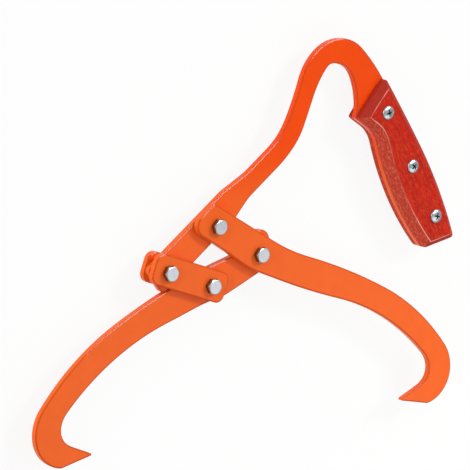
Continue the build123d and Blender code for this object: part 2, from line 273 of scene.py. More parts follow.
def powder_coat():
    """Polyester powder coat, sprayed and baked: an even satin film with soft patches and faint orange peel.

    It turns lighter and whiter down the handle's neck, towards the hooks: a painted sheen. The plates
    carry an attribute for a painted shade along the eased edges, where the coat is painted browner.
    """
    paint = settings().paint
    material, tree = empty_material("orange_powder_coat")
    spot = add_node(tree, "ShaderNodeTexCoord").outputs["Object"]
    along = add_node(tree, "ShaderNodeSeparateXYZ", {0: spot}).outputs["Y"]
    # Painted sheen: down the neck, towards the hooks, the coat turns lighter and whiter
    neck_top, neck_foot = 70.0 * MM, 20.0 * MM
    down_neck = {"Value": along, "From Min": neck_top, "From Max": neck_foot}
    lighter = add_node(tree, "ShaderNodeMapRange", down_neck, interpolation_type="SMOOTHSTEP").outputs[0]
    coat_mix = {"Factor": lighter, MIX_A: paint.coat, MIX_B: paint.hook_sheen}
    coat = add_node(tree, "ShaderNodeMix", coat_mix, data_type="RGBA").outputs[MIX_OUT]
    patch_noise = {"Vector": spot, "Scale": 1 / paint.patch, "Detail": 3.0}
    patch = add_node(tree, "ShaderNodeTexNoise", patch_noise).outputs["Fac"]
    shade_mix = {"Factor": patch, MIX_A: coat, MIX_B: paint.shade}
    shaded = add_node(tree, "ShaderNodeMix", shade_mix, data_type="RGBA", blend_type="MULTIPLY")
    # Painted shade: the coat turns browner along the eased edges
    painted_edge_shade = add_node(tree, "ShaderNodeAttribute", attribute_name="painted_edge_shade").outputs["Fac"]
    edge_mix = {"Factor": painted_edge_shade, MIX_A: shaded.outputs[MIX_OUT], MIX_B: paint.painted_edge_shade}
    tone = add_node(tree, "ShaderNodeMix", edge_mix, data_type="RGBA").outputs[MIX_OUT]
    peel_noise = {"Vector": spot, "Scale": 1 / paint.peel, "Detail": 1.0}
    peel = add_node(tree, "ShaderNodeTexNoise", peel_noise).outputs["Fac"]
    ripple = {"Height": peel, "Distance": paint.peel_height, "Strength": 0.6}
    normal = add_node(tree, "ShaderNodeBump", ripple).outputs["Normal"]
    smoothest, roughest = paint.roughness - paint.satin_spread, paint.roughness + paint.satin_spread
    satin = {"Value": patch, "To Min": smoothest, "To Max": roughest}
    roughness = add_node(tree, "ShaderNodeMapRange", satin).outputs[0]
    film = {"Base Color": tone, "Roughness": roughness, "Specular IOR Level": paint.shine, "Normal": normal}
    shader = add_node(tree, "ShaderNodeBsdfPrincipled", film)
    add_node(tree, "ShaderNodeOutputMaterial", {"Surface": shader.outputs[0]})
    return material


def stained_wood(grain_angle):
    """Hardwood, stained red and varnished: streaks and flecks on the faces, duller bevels with pale fibres.

    The scales carry three attributes: bevel is one on the bevels and sides, end_grain is one where those
    took more stain, and arris is one along the edge of the face. Real fibres are about a tenth of a
    millimetre wide, so they are drawn coarser here.
    """
    wood = settings().wood
    material, tree = empty_material("red_stained_hardwood")
    spot = add_node(tree, "ShaderNodeTexCoord").outputs["Object"]
    to_grain = {"Vector": spot, "Rotation": (0.0, 0.0, -grain_angle)}
    grain_spot = add_node(tree, "ShaderNodeMapping", to_grain).outputs["Vector"]
    bevel, end_grain, arris = (
        add_node(tree, "ShaderNodeAttribute", attribute_name=name).outputs["Fac"]
        for name in ("bevel", "end_grain", "arris")
    )

    # A streak runs eight times its width along the grain, and a fibre four times
    streak_stretch = {"Vector": grain_spot, "Scale": (1 / 8, 1.0, 1.0)}
    streak_spot = add_node(tree, "ShaderNodeMapping", streak_stretch).outputs["Vector"]
    streak_noise = {"Vector": streak_spot, "Scale": 1 / wood.streak_width, "Detail": 3.0, "Roughness": 0.55}
    streak = add_node(tree, "ShaderNodeTexNoise", streak_noise).outputs["Fac"]
    fibre_stretch = {"Vector": grain_spot, "Scale": (1 / 4, 1.0, 1.0)}
    fibre_spot = add_node(tree, "ShaderNodeMapping", fibre_stretch).outputs["Vector"]
    fibre_noise = {"Vector": fibre_spot, "Scale": 1 / wood.fibre_width, "Detail": 2.0, "Roughness": 0.6}
    fibre = add_node(tree, "ShaderNodeTexNoise", fibre_noise).outputs["Fac"]
    dark_range = {"Value": streak, "From Min": 0.4, "From Max": 0.7}
    dark = add_node(tree, "ShaderNodeMapRange", dark_range).outputs[0]
    pale_range = {"Value": fibre, "From Min": 0.5, "From Max": 0.78}
    pale = add_node(tree, "ShaderNodeMapRange", pale_range).outputs[0]

    # The face, the bevels along and across the grain, and the rubbed edge between face and bevels
    grain_mix = {"Factor": dark, MIX_A: wood.face, MIX_B: wood.streak}
    grain = add_node(tree, "ShaderNodeMix", grain_mix, data_type="RGBA").outputs[MIX_OUT]
    face_mix = {"Factor": pale, MIX_A: grain, MIX_B: wood.fleck}
    face = add_node(tree, "ShaderNodeMix", face_mix, data_type="RGBA").outputs[MIX_OUT]
    along_mix = {"Factor": pale, MIX_A: wood.bevel, MIX_B: wood.fibre}
    along = add_node(tree, "ShaderNodeMix", along_mix, data_type="RGBA").outputs[MIX_OUT]
    across_mix = {"Factor": pale, MIX_A: wood.end_grain, MIX_B: wood.bevel}
    across = add_node(tree, "ShaderNodeMix", across_mix, data_type="RGBA").outputs[MIX_OUT]
    side_mix = {"Factor": end_grain, MIX_A: along, MIX_B: across}
    side = add_node(tree, "ShaderNodeMix", side_mix, data_type="RGBA").outputs[MIX_OUT]
    body_mix = {"Factor": bevel, MIX_A: face, MIX_B: side}
    body = add_node(tree, "ShaderNodeMix", body_mix, data_type="RGBA").outputs[MIX_OUT]
    rub_noise = {"Vector": spot, "Scale": 1 / wood.rub, "Detail": 4.0}
    rub = add_node(tree, "ShaderNodeTexNoise", rub_noise).outputs["Fac"]
    bare_range = {"Value": rub, "From Min": 0.36, "From Max": 0.58}
    bare = add_node(tree, "ShaderNodeMapRange", bare_range).outputs[0]
    rubbed = add_node(tree, "ShaderNodeMath", {0: arris, 1: bare}, operation="MULTIPLY").outputs[0]
    tone_mix = {"Factor": rubbed, MIX_A: body, MIX_B: wood.worn}
    tone = add_node(tree, "ShaderNodeMix", tone_mix, data_type="RGBA").outputs[MIX_OUT]

    satin = {"Value": bevel, "To Min": wood.roughness, "To Max": wood.bevel_roughness}
    roughness = add_node(tree, "ShaderNodeMapRange", satin).outputs[0]
    open_grain = {"Height": fibre, "Distance": wood.fibre_depth, "Strength": 0.7}
    normal = add_node(tree, "ShaderNodeBump", open_grain).outputs["Normal"]
    finish = {"Base Color": tone, "Roughness": roughness, "Specular IOR Level": wood.shine, "Normal": normal}
    shader = add_node(tree, "ShaderNodeBsdfPrincipled", finish)
    add_node(tree, "ShaderNodeOutputMaterial", {"Surface": shader.outputs[0]})
    return material


def zinc_plate(name, roughness):
    """Bright zinc plate, passivated: a cool metal with faint green and pink clouds and a fine forged grain.

    Bolts and screws carry an attribute for a painted shade, which darkens the recesses and the flats of
    the heads. The real grain is finer than a tenth of a millimetre, so it is drawn coarser here.
    """
    zinc = settings().zinc
    material, tree = empty_material(name)
    spot = add_node(tree, "ShaderNodeTexCoord").outputs["Object"]
    widths = (zinc.green_width, zinc.pink_width, zinc.grain_width)
    noises = [{"Vector": spot, "Scale": 1 / width, "Detail": 2.0} for width in widths]
    green_cloud, pink_cloud, grain = (
        add_node(tree, "ShaderNodeTexNoise", noise).outputs["Fac"] for noise in noises
    )
    green_range = {"Value": green_cloud, "From Min": 0.45, "From Max": 0.65}
    green = add_node(tree, "ShaderNodeMapRange", green_range).outputs[0]
    pink_range = {"Value": pink_cloud, "From Min": 0.5, "From Max": 0.68}
    pink = add_node(tree, "ShaderNodeMapRange", pink_range).outputs[0]
    cool_mix = {"Factor": green, MIX_A: zinc.plate, MIX_B: zinc.green}
    cool = add_node(tree, "ShaderNodeMix", cool_mix, data_type="RGBA").outputs[MIX_OUT]
    tint_mix = {"Factor": pink, MIX_A: cool, MIX_B: zinc.pink}
    tinted = add_node(tree, "ShaderNodeMix", tint_mix, data_type="RGBA").outputs[MIX_OUT]
    # Painted shade darkens the recesses and the flats of the heads
    painted_shade = add_node(tree, "ShaderNodeAttribute", attribute_name="painted_shade").outputs["Fac"]
    tone_mix = {"Factor": painted_shade, MIX_A: tinted, MIX_B: zinc.painted_shade}
    tone = add_node(tree, "ShaderNodeMix", tone_mix, data_type="RGBA").outputs[MIX_OUT]
    satin_range = {"Value": grain, "To Min": 0.75 * roughness, "To Max": 1.25 * roughness}
    satin = add_node(tree, "ShaderNodeMapRange", satin_range).outputs[0]
    forged = {"Height": grain, "Distance": zinc.grain_height, "Strength": 0.5}
    normal = add_node(tree, "ShaderNodeBump", forged).outputs["Normal"]
    metal = {"Base Color": tone, "Metallic": 1.0, "Roughness": satin, "Normal": normal}
    shader = add_node(tree, "ShaderNodeBsdfPrincipled", metal)
    add_node(tree, "ShaderNodeOutputMaterial", {"Surface": shader.outputs[0]})
    return material


def moulded_nylon():
    """Natural nylon, moulded: milky and matt, with a faint mottle."""
    nylon = settings().nylon
    material, tree = empty_material("natural_nylon")
    spot = add_node(tree, "ShaderNodeTexCoord").outputs["Object"]
    mottle_noise = {"Vector": spot, "Scale": 1 / nylon.mottle_width, "Detail": 2.0}
    mottle = add_node(tree, "ShaderNodeTexNoise", mottle_noise).outputs["Fac"]
    tone_mix = {"Factor": mottle, MIX_A: nylon.milk, MIX_B: nylon.mottle}
    tone = add_node(tree, "ShaderNodeMix", tone_mix, data_type="RGBA").outputs[MIX_OUT]
    uneven = {"Height": mottle, "Distance": nylon.mottle_height, "Strength": 0.5}
    normal = add_node(tree, "ShaderNodeBump", uneven).outputs["Normal"]
    plastic = {"Base Color": tone, "Roughness": nylon.roughness, "IOR": 1.53, "Normal": normal}
    shader = add_node(tree, "ShaderNodeBsdfPrincipled", plastic)
    add_node(tree, "ShaderNodeOutputMaterial", {"Surface": shader.outputs[0]})
    return material


def pale_floor():
    """Painted board, rolled matt white. What the camera and shiny pieces see of it is mostly plain white."""
    stage = settings().stage
    material, tree = empty_material("white_painted_board")
    path = add_node(tree, "ShaderNodeLightPath").outputs
    matt = add_node(tree, "ShaderNodeBsdfDiffuse", {"Color": stage.floor}).outputs[0]
    plain = {"Color": linear("#FFFFFF"), "Strength": 1.0}
    white = add_node(tree, "ShaderNodeEmission", plain).outputs[0]
    through_shine = {0: path["Is Glossy Ray"], 1: path["Is Transmission Ray"]}
    shiny = add_node(tree, "ShaderNodeMath", through_shine, operation="MAXIMUM").outputs[0]
    either = {0: path["Is Camera Ray"], 1: shiny}
    seen = add_node(tree, "ShaderNodeMath", either, operation="MAXIMUM").outputs[0]
    less_shadow = {0: seen, 1: 1 - stage.shadow_kept}
    whitened = add_node(tree, "ShaderNodeMath", less_shadow, operation="MULTIPLY").outputs[0]
    shader = add_node(tree, "ShaderNodeMixShader", {0: whitened, 1: matt, 2: white})
    add_node(tree, "ShaderNodeOutputMaterial", {"Surface": shader.outputs[0]})
    return material


def link_object(name, data):
    """An object for a mesh, lamp or camera, in the open scene."""
    made = bpy.data.objects.new(name, data)
    bpy.context.scene.collection.objects.link(made)
    return made


def grid_faces(rows, columns, closed=False, first=0):
    """Faces of a grid of points whose columns run anticlockwise round a piece and join up.

    The rows run from the piece's top outwards and down. If closed, the last row joins the first. First is
    the index of the grid's first point.
    """
    index = first + np.arange(rows * columns).reshape(rows, columns)
    rings = np.vstack([index, index[:1]]) if closed else index
    ahead = np.roll(rings, -1, axis=1)
    return np.stack([rings[:-1], rings[1:], ahead[1:], ahead[:-1]], axis=-1).reshape(-1, 4).tolist()


def add_piece(name, points, faces, material, node, normals=None, attributes=None):
    """A mesh that stands for a construction node. Without normals, those of large faces count for more."""
    sharp_from = np.radians(50)
    mesh = bpy.data.meshes.new(name)
    mesh.from_pydata(points.reshape(-1, 3).tolist(), [], faces)
    mesh.shade_smooth()
    mesh.set_sharp_from_angle(angle=sharp_from)
    mesh.materials.append(material)
    for attribute, values in (attributes or {}).items():
        mesh.attributes.new(attribute, "FLOAT", "POINT").data.foreach_set("value", values)
    piece = link_object(name, mesh)
    if normals is None:
        piece.modifiers.new("flat faces stay flat", "WEIGHTED_NORMAL").keep_sharp = True
    else:
        mesh.normals_split_custom_set_from_vertices(normals.tolist())
    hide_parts(node)
    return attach(piece, BODY_OF[node])


def add_turned(name, points, material, node, closed=False, attributes=None):
    """A piece through a grid of points round an axis, with flat caps unless its section is closed."""
    rows, columns = points.shape[:2]
    faces = grid_faces(rows, columns, closed)
    last = np.arange(columns) + (rows - 1) * columns
    caps = [] if closed else [np.arange(columns).tolist(), last[::-1].tolist()]
    return add_piece(name, points, faces + caps, material, node, attributes=attributes)


def mark_first(values, points):
    """A mark with set values on the first points of a piece, and nought on the others."""
    return np.pad(values.ravel(), (0, points.size // 3 - values.size))


def axis_of(node):
    """The middle of a node's box, as x and y."""
    low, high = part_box(node)
    return np.array(((low.x + high.x) / 2, (low.y + high.y) / 2))


def node_points(node):
    """The corners of a node's construction mesh."""
    vertices = frame["nodes"][node].data.vertices
    points = np.empty(3 * len(vertices))
    vertices.foreach_get("co", points)
    return points.reshape(-1, 3)


def travelled_along(line):
    """The distance along a line from its first point to each of its points."""
    return np.concatenate([[0], np.linalg.norm(np.diff(line, axis=0), axis=1).cumsum()])


def outline_of(node, at_top=False, step=2.0 * MM):
    """The outline of a node's upright sides, anticlockwise, with no two points farther apart than a step.

    The sides are taller than the rounded edges over and under them, and shorter than the bores. Their lowest
    or highest edges give the next point of each point. The chain is followed from the leftmost point, and
    each pass doubles the stretch of it that is known.
    """
    shortest_side, shorter_than_bores = 2.0 * MM, 0.1 * MM
    same_level, closest = 0.01 * MM, 0.1 * MM
    mesh = frame["nodes"][node].data
    points = node_points(node)
    triangles = np.empty(len(mesh.loops), int)
    mesh.loops.foreach_get("vertex_index", triangles)
    triangles = triangles.reshape(-1, 3)
    reach, thickness = np.ptp(points[triangles, 2], axis=1), np.ptp(points[:, 2])
    sides = triangles[(reach > shortest_side) & (reach < thickness - shorter_than_bores)]
    level = points[sides, 2].max() if at_top else points[sides, 2].min()
    edges = np.stack([sides, np.roll(sides, -1, axis=1)], axis=-1).reshape(-1, 2)
    edges = edges[(np.abs(points[edges, 2] - level) < same_level).all(axis=1)]
    corners, index = np.unique(points[edges.T.ravel(), :2].round(6), axis=0, return_inverse=True)
    starts, ends = index.reshape(2, -1)
    jump = np.arange(len(corners))
    jump[starts] = ends
    order = np.zeros(1, int)
    while len(order) <= len(corners):
        order = np.concatenate([order, jump[order]])
        jump = jump[jump]
    loop = corners[order[: order[1:].argmin() + 2]]
    loop = loop[::-1] if at_top else loop
    travelled = travelled_along(loop)
    places = np.union1d(travelled[:-1], np.arange(0, travelled[-1], step)[1:])
    places = places[np.diff(places, prepend=-1) > closest]
    return np.column_stack([np.interp(places, travelled, loop[:, axis]) for axis in (0, 1)])


def holes_in(node):
    """Middle and radius of each hole in a node: a fastener's axis, and how near the closest corner is."""
    corners = node_points(node)[:, :2]
    fasteners = [f"{pivot}_bolt" for pivot in PIVOTS] + [f"grip_screw_{spot}" for spot in GRIP_PLACES]
    axes = [axis_of(fastener) for fastener in fasteners]
    radii = [np.linalg.norm(corners - axis, axis=1).min() for axis in axes]
    widest = 5.2 * MM
    return [(axis, radius) for axis, radius in zip(axes, radii) if radius < widest]


def run_of(outline):
    """The direction of a closed outline at each point, from the point before it to the point after it."""
    run = np.roll(outline, -1, axis=0) - np.roll(outline, 1, axis=0)
    return run / np.linalg.norm(run, axis=1, keepdims=True)


def outward_of(outline):
    """The direction outwards at each point of an outline, and the bisector of its corner there.

    The bisector is longer than one at a corner, so that a step along it moves both stretches that meet there
    by the step.
    """
    run = np.roll(outline, -1, axis=0) - outline
    run /= np.linalg.norm(run, axis=1, keepdims=True)
    before = np.roll(run, 1, axis=0)
    outward = np.column_stack([(before + run)[:, 1], -(before + run)[:, 0]])
    outward /= np.linalg.norm(outward, axis=1, keepdims=True)
    return outward, outward / np.sqrt((1 + (before * run).sum(axis=1, keepdims=True)) / 2)


def distance_to(outline, points):
    """Distance from each point to the nearest stretch of a closed outline."""
    run = np.roll(outline, -1, axis=0) - outline
    offset = points[:, None] - outline
    share_along = np.clip((offset * run).sum(axis=-1) / (run**2).sum(axis=-1), 0, 1)
    return np.linalg.norm(offset - share_along[..., None] * run, axis=-1).min(axis=1)


def smooth_step(values, start, end):
    """Nought before start and one after end, with a smooth rise between."""
    t = np.clip((values - start) / (end - start), 0, 1)
    return t * t * (3 - 2 * t)


def full_turn(count):
    """Angles of points that are spread evenly round a circle."""
    return np.linspace(0, 2 * np.pi, count, endpoint=False)


def section(corners, columns):
    """Corners of a section, as radius and height, for every column.

    A radius or height is one number, or one for each column.
    """
    spread = [[np.broadcast_to(value, columns) for value in corner] for corner in corners]
    return np.stack([np.stack(corner, axis=-1) for corner in spread])


def round_corners(corners, radius, closed=False, steps=5):
    """A section whose corners are rounded.

    Each corner becomes the quadratic curve between the points that lie a radius before and after it, or
    almost halfway to the next corner where that is nearer, with the corner as its middle control point.
    """
    almost_halfway = 0.45
    before = np.roll(corners, 1, axis=0) - corners
    after = np.roll(corners, -1, axis=0) - corners
    away, on = (np.linalg.norm(side, axis=-1, keepdims=True) for side in (before, after))
    start = corners + before * np.minimum(radius / away, almost_halfway)
    end = corners + after * np.minimum(radius / on, almost_halfway)
    t = np.linspace(0, 1, steps).reshape(1, -1, 1, 1)
    curve = (1 - t) ** 2 * start[:, None] + 2 * t * (1 - t) * corners[:, None] + t**2 * end[:, None]
    if closed:
        return curve.reshape(-1, *corners.shape[1:])
    inner = curve[1:-1].reshape(-1, *corners.shape[1:])
    return np.concatenate([corners[:1], inner, corners[-1:]])


def turned(profile, angles, centre):
    """A section of radii and heights carried round an upright axis through the centre."""
    radius, height = profile[..., 0], profile[..., 1]
    x, y = centre[0] + radius * np.cos(angles), centre[1] + radius * np.sin(angles)
    return np.stack([x, y, height], axis=-1)


def flat_face(loops, indices, upwards):
    """Triangles between an outline and the holes in it, all facing up or all facing down."""
    places, index = np.vstack(loops), np.concatenate(indices)
    flat = [np.column_stack([loop, np.zeros(len(loop))]).tolist() for loop in loops]
    triangles = np.array(tessellate_polygon(flat))
    a, b, c = places[triangles].transpose(1, 0, 2)
    left_turn = (b - a)[:, 0] * (c - a)[:, 1] > (b - a)[:, 1] * (c - a)[:, 0]
    triangles = np.where((left_turn == upwards)[:, None], triangles, triangles[:, ::-1])
    return index[triangles].tolist()


def slab(rings, heights, holes):
    """Points and faces of a slab with holes: rings of its side, from the top down, and two flat faces."""
    rows, columns = rings.shape[:2]
    side = np.dstack([rings, np.repeat(heights[:, None], columns, axis=1)]).reshape(-1, 3)
    faces = grid_faces(rows, columns)
    clockwise = -full_turn(count=48)
    circle = np.column_stack([np.cos(clockwise), np.sin(clockwise)])
    circles = [centre + radius * circle for centre, radius in holes]
    points, top, bottom = [side], [np.arange(columns)], [np.arange(columns) + (rows - 1) * columns]
    for bore, rim in enumerate(circles):
        first = rows * columns + bore * 2 * len(rim)
        points += [np.column_stack([rim, np.full(len(rim), height)]) for height in heights[[0, -1]]]
        faces += grid_faces(2, len(rim), first=first)
        top.append(np.arange(len(rim)) + first)
        bottom.append(np.arange(len(rim)) + first + len(rim))
    faces += flat_face([rings[0], *circles], top, True) + flat_face([rings[-1], *circles], bottom, False)
    return np.vstack(points), faces


def eased(outline, reach):
    """An outline whose inner corners are filled to softer curves. Its outer corners stay.

    Each point is compared with the mean of the outline within a reach to either side of it. Where that mean
    lies outside the piece, as it does at an inner corner, the point moves out as far.
    """
    closed = np.vstack([outline, outline[:1]])
    travelled = travelled_along(closed)
    nearby = (travelled[:-1, None] + np.linspace(-reach, reach, num=33)) % travelled[-1]
    mean = np.column_stack([np.interp(nearby, travelled, closed[:, axis]).mean(axis=1) for axis in (0, 1)])
    run = run_of(outline)
    outward = np.column_stack([run[:, 1], -run[:, 0]])
    shift = ((mean - outline) * outward).sum(axis=1, keepdims=True)
    return outline + shift.clip(0, None) * outward


def room_for(inset, outline, bisector):
    """The share of an inset that fits at each point of an outline, before another side of it is as near.

    It is less than one at the hook points and next to sharp corners, where the slopes of two sides meet.
    Only nine tenths of it are used there.
    """
    tolerance, used = 0.98, 0.9
    steps = inset * np.linspace(0, 1, num=25)[1:]
    clear = np.array([distance_to(outline, outline - step * bisector) > tolerance * step for step in steps])
    room = clear.cumprod(axis=0).mean(axis=0)
    return np.where(room < 1, used * room, 1.0)


def eased_edge(bottom, top):
    """Insets and heights of a plate's edge, from the upper face to the lower one.

    The section runs across the upper slope, down the side and across the lower slope, with rounded corners.
    """
    paint = settings().paint
    slope, drop, on_face = paint.edge_width, paint.edge_drop, paint.edge_width + paint.edge_round
    corners = [(on_face, top), (slope, top), (0.0, top - drop)]
    corners += [(0.0, bottom + drop), (slope, bottom), (on_face, bottom)]
    return round_corners(section(corners, (1,)), paint.edge_round)[1:-1, 0].T


def plate_piece(node, material):
    """A plate: the eased edge carried round its outline, between two flat faces with holes.

    A point of the edge lies inside the outline by its inset, along the bisector. The insets are less where
    two slopes meet, and under the scales, where the edge is nearly sharp. A normal is square to the edge's
    section, and to the flat faces at both ends of it.
    """
    paint = settings().paint
    low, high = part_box(node)
    insets, heights = eased_edge(low.z, high.z)
    falls, spreads = -np.gradient(heights), -np.gradient(insets)
    falls[[0, -1]] = 0.0
    tilt = np.arctan2(falls, spreads)
    outline = eased(outline_of(node), paint.inner_ease)
    outward, bisector = outward_of(outline)
    near_scales = 0.5 * MM
    under_scales = distance_to(outline_of("front_scale"), outline) < near_scales
    ease = room_for(insets.max(), outline, bisector) * np.where(under_scales, paint.tang_ease, 1.0)
    rings = outline - insets[:, None, None] * ease[:, None] * bisector
    points, faces = slab(rings, heights, holes_in(node))
    sideways = np.sin(tilt)[:, None, None] * outward
    upwards = np.broadcast_to(np.cos(tilt)[:, None], rings.shape[:2])
    normals = np.where(points[:, 2:] > (low.z + high.z) / 2, (0.0, 0.0, 1.0), (0.0, 0.0, -1.0))
    normals[: upwards.size] = np.dstack([sideways, upwards]).reshape(-1, 3)
    # Painted shade along the eased edges, darkest where the slope turns down into the side
    painted_edge_shade = mark_first(np.outer(np.sin(2 * tilt) ** 2, ease), points)
    return add_piece(f"{node}_coated", points, faces, material, node, normals, {"painted_edge_shade": painted_edge_shade})


def hexagon(node, edge):
    """Angles and radii of a node's hexagon with rounded edges, and the radius to its flats.

    It is the sum of a hexagon that is smaller by the edge radius and a circle of that radius, so each corner
    is an arc of sixty degrees, and straight flats join the arcs. Its size and turn come from the node's
    farthest corner.
    """
    half_side, arc_steps, flat_steps = np.pi / 6, 7, 6
    corners = node_points(node)[:, :2] - axis_of(node)
    corner = corners[np.linalg.norm(corners, axis=1).argmax()]
    flat = np.linalg.norm(corner) * np.cos(half_side)
    corner_angles = np.arctan2(corner[1], corner[0]) + np.arange(6)[:, None] * 2 * half_side
    arc_angles = corner_angles + np.linspace(-half_side, half_side, arc_steps)
    inner = (flat - edge) / np.cos(half_side) * np.exp(1j * corner_angles)
    arcs = inner + edge * np.exp(1j * arc_angles)
    starts, ends = arcs[:, -1:], np.roll(arcs[:, :1], -1, axis=0)
    flats = starts + (ends - starts) * np.linspace(0, 1, flat_steps + 2)[1:-1]
    outline = np.concatenate([arcs, flats], axis=1).ravel()
    return np.angle(outline), np.abs(outline), flat


def pivot_bolt(node, material):
    """A hexagon bolt: a flat top, a thirty-degree cone that cuts the corners, a shank and a thread.

    The thread's radius falls from the shank by a saw-tooth of the height less the turn, one pitch a turn,
    and a forty-five-degree cone cuts its end. A painted shade darkens the flats of the head, more towards
    the seat.
    """
    zinc = settings().zinc
    low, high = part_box(node)
    angles, hex_radius, flat = hexagon(node, zinc.edge)
    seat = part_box("front_link")[1].z
    top = flat - zinc.turned_edge
    shank = zinc.bolt / 2
    cone = high.z - (hex_radius - top) * np.tan(np.radians(30))
    thread_turns, rows_a_turn = 3, 16
    thread_top = low.z + thread_turns * zinc.pitch
    corners = [(top / 2, high.z), (top, high.z), (hex_radius, cone), (hex_radius, seat), (shank, seat)]
    head = round_corners(section(corners + [(shank, thread_top)], angles.shape), zinc.edge)
    thread_rows = np.linspace(thread_top, low.z, thread_turns * rows_a_turn + 1)[1:]
    heights = np.outer(thread_rows, np.ones_like(angles))
    thread_depth, end_bevel = 0.54 * zinc.pitch, 0.6 * MM
    saw_tooth = np.abs(2 * ((heights / zinc.pitch - angles / (2 * np.pi)) % 1) - 1)
    radii = np.minimum(shank - thread_depth * saw_tooth, shank - end_bevel + heights - low.z)
    profile = np.concatenate([head, np.stack([radii, heights], axis=-1)])
    points = turned(profile, angles, axis_of(node))
    # Painted shade on the flats of the head, darker towards the seat
    down_flats = np.clip((high.z - points[..., 2]) / (high.z - seat), 0, 1)
    off_top = smooth_step(profile[..., 0] / hex_radius, start=0.9, end=1.0)
    on_flats = off_top * smooth_step(down_flats, start=0.0, end=0.5)
    shade_at_top, shade_at_seat = 0.5, 0.9
    painted_shade = on_flats * (shade_at_top + (shade_at_seat - shade_at_top) * down_flats)
    return add_turned(f"{node}_plated", points, material, node, attributes={"painted_shade": painted_shade.ravel()})


def lock_nut(node, material):
    """A hexagon cut by cones, with a round collar rolled in over the insert.

    Its section closes round the bore.
    """
    zinc = settings().zinc
    low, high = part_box(node)
    insert_low, insert_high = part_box(node.replace("nut", "insert"))
    angles, hex_radius, flat = hexagon(node, zinc.edge)
    top = flat - zinc.turned_edge
    cone = (hex_radius - top) * np.tan(np.radians(30))
    play, lip_width = 0.03 * MM, 0.5 * MM
    bore = zinc.bolt / 2 + play
    groove = (insert_high.x - insert_low.x) / 2 + play
    lip = groove - lip_width
    collar, collar_top = zinc.collar / 2, low.z + zinc.collar_height
    corners = [(bore, high.z), (top, high.z), (hex_radius, high.z - cone), (hex_radius, collar_top + cone)]
    corners += [(collar, collar_top), (collar, low.z), (lip, low.z), (lip, insert_low.z - play)]
    corners += [(groove, insert_low.z - play), (groove, insert_high.z + play), (bore, insert_high.z + play)]
    profile = round_corners(section(corners, angles.shape), 2 * zinc.edge, closed=True)
    return add_turned(f"{node}_plated", turned(profile, angles, axis_of(node)), material, node, closed=True)


def nylon_insert(node, material):
    """A ring whose section is a rectangle with rounded corners."""
    low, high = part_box(node)
    play, edge = 0.02 * MM, 0.2 * MM
    inner, outer = settings().zinc.bolt / 2 + play, (high.x - low.x) / 2
    angles = full_turn(count=64)
    corners = section([(inner, high.z), (outer, high.z), (outer, low.z), (inner, low.z)], angles.shape)
    profile = round_corners(corners, edge, closed=True)
    return add_turned(f"{node}_ring", turned(profile, angles, axis_of(node)), material, node, closed=True)


def driver_arm(along, across, arm, width, depth):
    """Depth of one arm of a driver recess: a parabola along the arm, between walls that slope a little."""
    wall_foot, wall_top = 0.38 * width, 0.55 * width
    floor = np.clip(1 - (2 * along / arm) ** 2, 0, 1)
    return depth * floor * (1 - smooth_step(np.abs(across), wall_foot, wall_top))


def domed_head(radius, rise, recess, angles):
    """A domed head on a short upright rim: half an ellipse turned round, less the recess's depth.

    Gives the section for every angle, and the depth of the recess there. The sweep starts just off the axis,
    so that the middle is a small flat cap.
    """
    off_axis, rows = 0.02, 64
    sweep = np.linspace(off_axis, np.pi / 2, rows)[:, None]
    rim = 0.25 * rise
    reach = radius * np.sin(sweep) * np.ones_like(angles)
    sunk = recess(reach * np.cos(angles), reach * np.sin(angles))
    height = rim + (rise - rim) * np.cos(sweep) - sunk
    return np.stack([reach, height], axis=-1), sunk


def recess_shade(sunk, points):
    """Painted shade of a screw: nought on its outside, and one from a fifth of a millimetre down in its
    recess.
    """
    fully_dark = 0.2 * MM
    return {"painted_shade": mark_first(np.clip(sunk / fully_dark, 0, 1), points)}


def grip_screw(node, turn, material):
    """A domed screw with a cross recess, whose shank goes through the front scale."""
    zinc = settings().zinc
    low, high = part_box(node)
    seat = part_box("front_scale")[1].z
    radius = (high.x - low.x) / 2
    angles = full_turn(count=144)
    width, depth, shank = 1.1 * MM, 1.5 * MM, 2.0 * MM

    def cross(x, y):
        """Depth of two arms at right angles: the deeper of the two."""
        u, v = x * np.cos(turn) + y * np.sin(turn), y * np.cos(turn) - x * np.sin(turn)
        arms = (driver_arm(a, b, zinc.recess, width, depth) for a, b in ((u, v), (v, u)))
        return np.maximum(*arms)

    head, sunk = domed_head(radius, high.z - seat, cross, angles)
    below = section([(radius, seat), (shank, seat), (shank, low.z)], angles.shape)
    points = turned(np.concatenate([head + (0.0, seat), below]), angles, axis_of(node))
    # Painted shade in the cross recess
    return add_turned(f"{node}_polished", points, material, node, attributes=recess_shade(sunk, points))


def barrel_nut(node, turn, material):
    """A domed barrel nut with one slot: a screw's head turned over, with a barrel through the rear scale."""
    low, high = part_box(node)
    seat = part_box("rear_scale")[0].z
    radius = (high.x - low.x) / 2
    angles = full_turn(count=144)
    width, depth, barrel = 1.3 * MM, 1.1 * MM, 3.0 * MM
    wall_foot, wall_top = 0.42 * width, 0.52 * width

    def one_slot(x, y):
        """Depth of a slot right across the head: even, between walls that slope a little."""
        across = y * np.cos(turn) - x * np.sin(turn)
        return depth * (1 - smooth_step(np.abs(across), wall_foot, wall_top))

    head, sunk = domed_head(radius, seat - low.z, one_slot, angles)
    above = section([(radius, seat), (barrel, seat), (barrel, high.z)], angles.shape)
    points = turned(np.concatenate([head * (1.0, -1.0) + (0.0, seat), above]), angles, axis_of(node))
    # Painted shade in the slot
    painted_shade = recess_shade(sunk[:, ::-1], points)
    return add_turned(f"{node}_polished", points[:, ::-1], material, node, attributes=painted_shade)


def grip_spine():
    """The front screw's place, the direction from there to the rear screw, and the distance between them."""
    front, rear = axis_of("grip_screw_front"), axis_of("grip_screw_rear")
    span = np.linalg.norm(rear - front)
    return front, (rear - front) / span, span


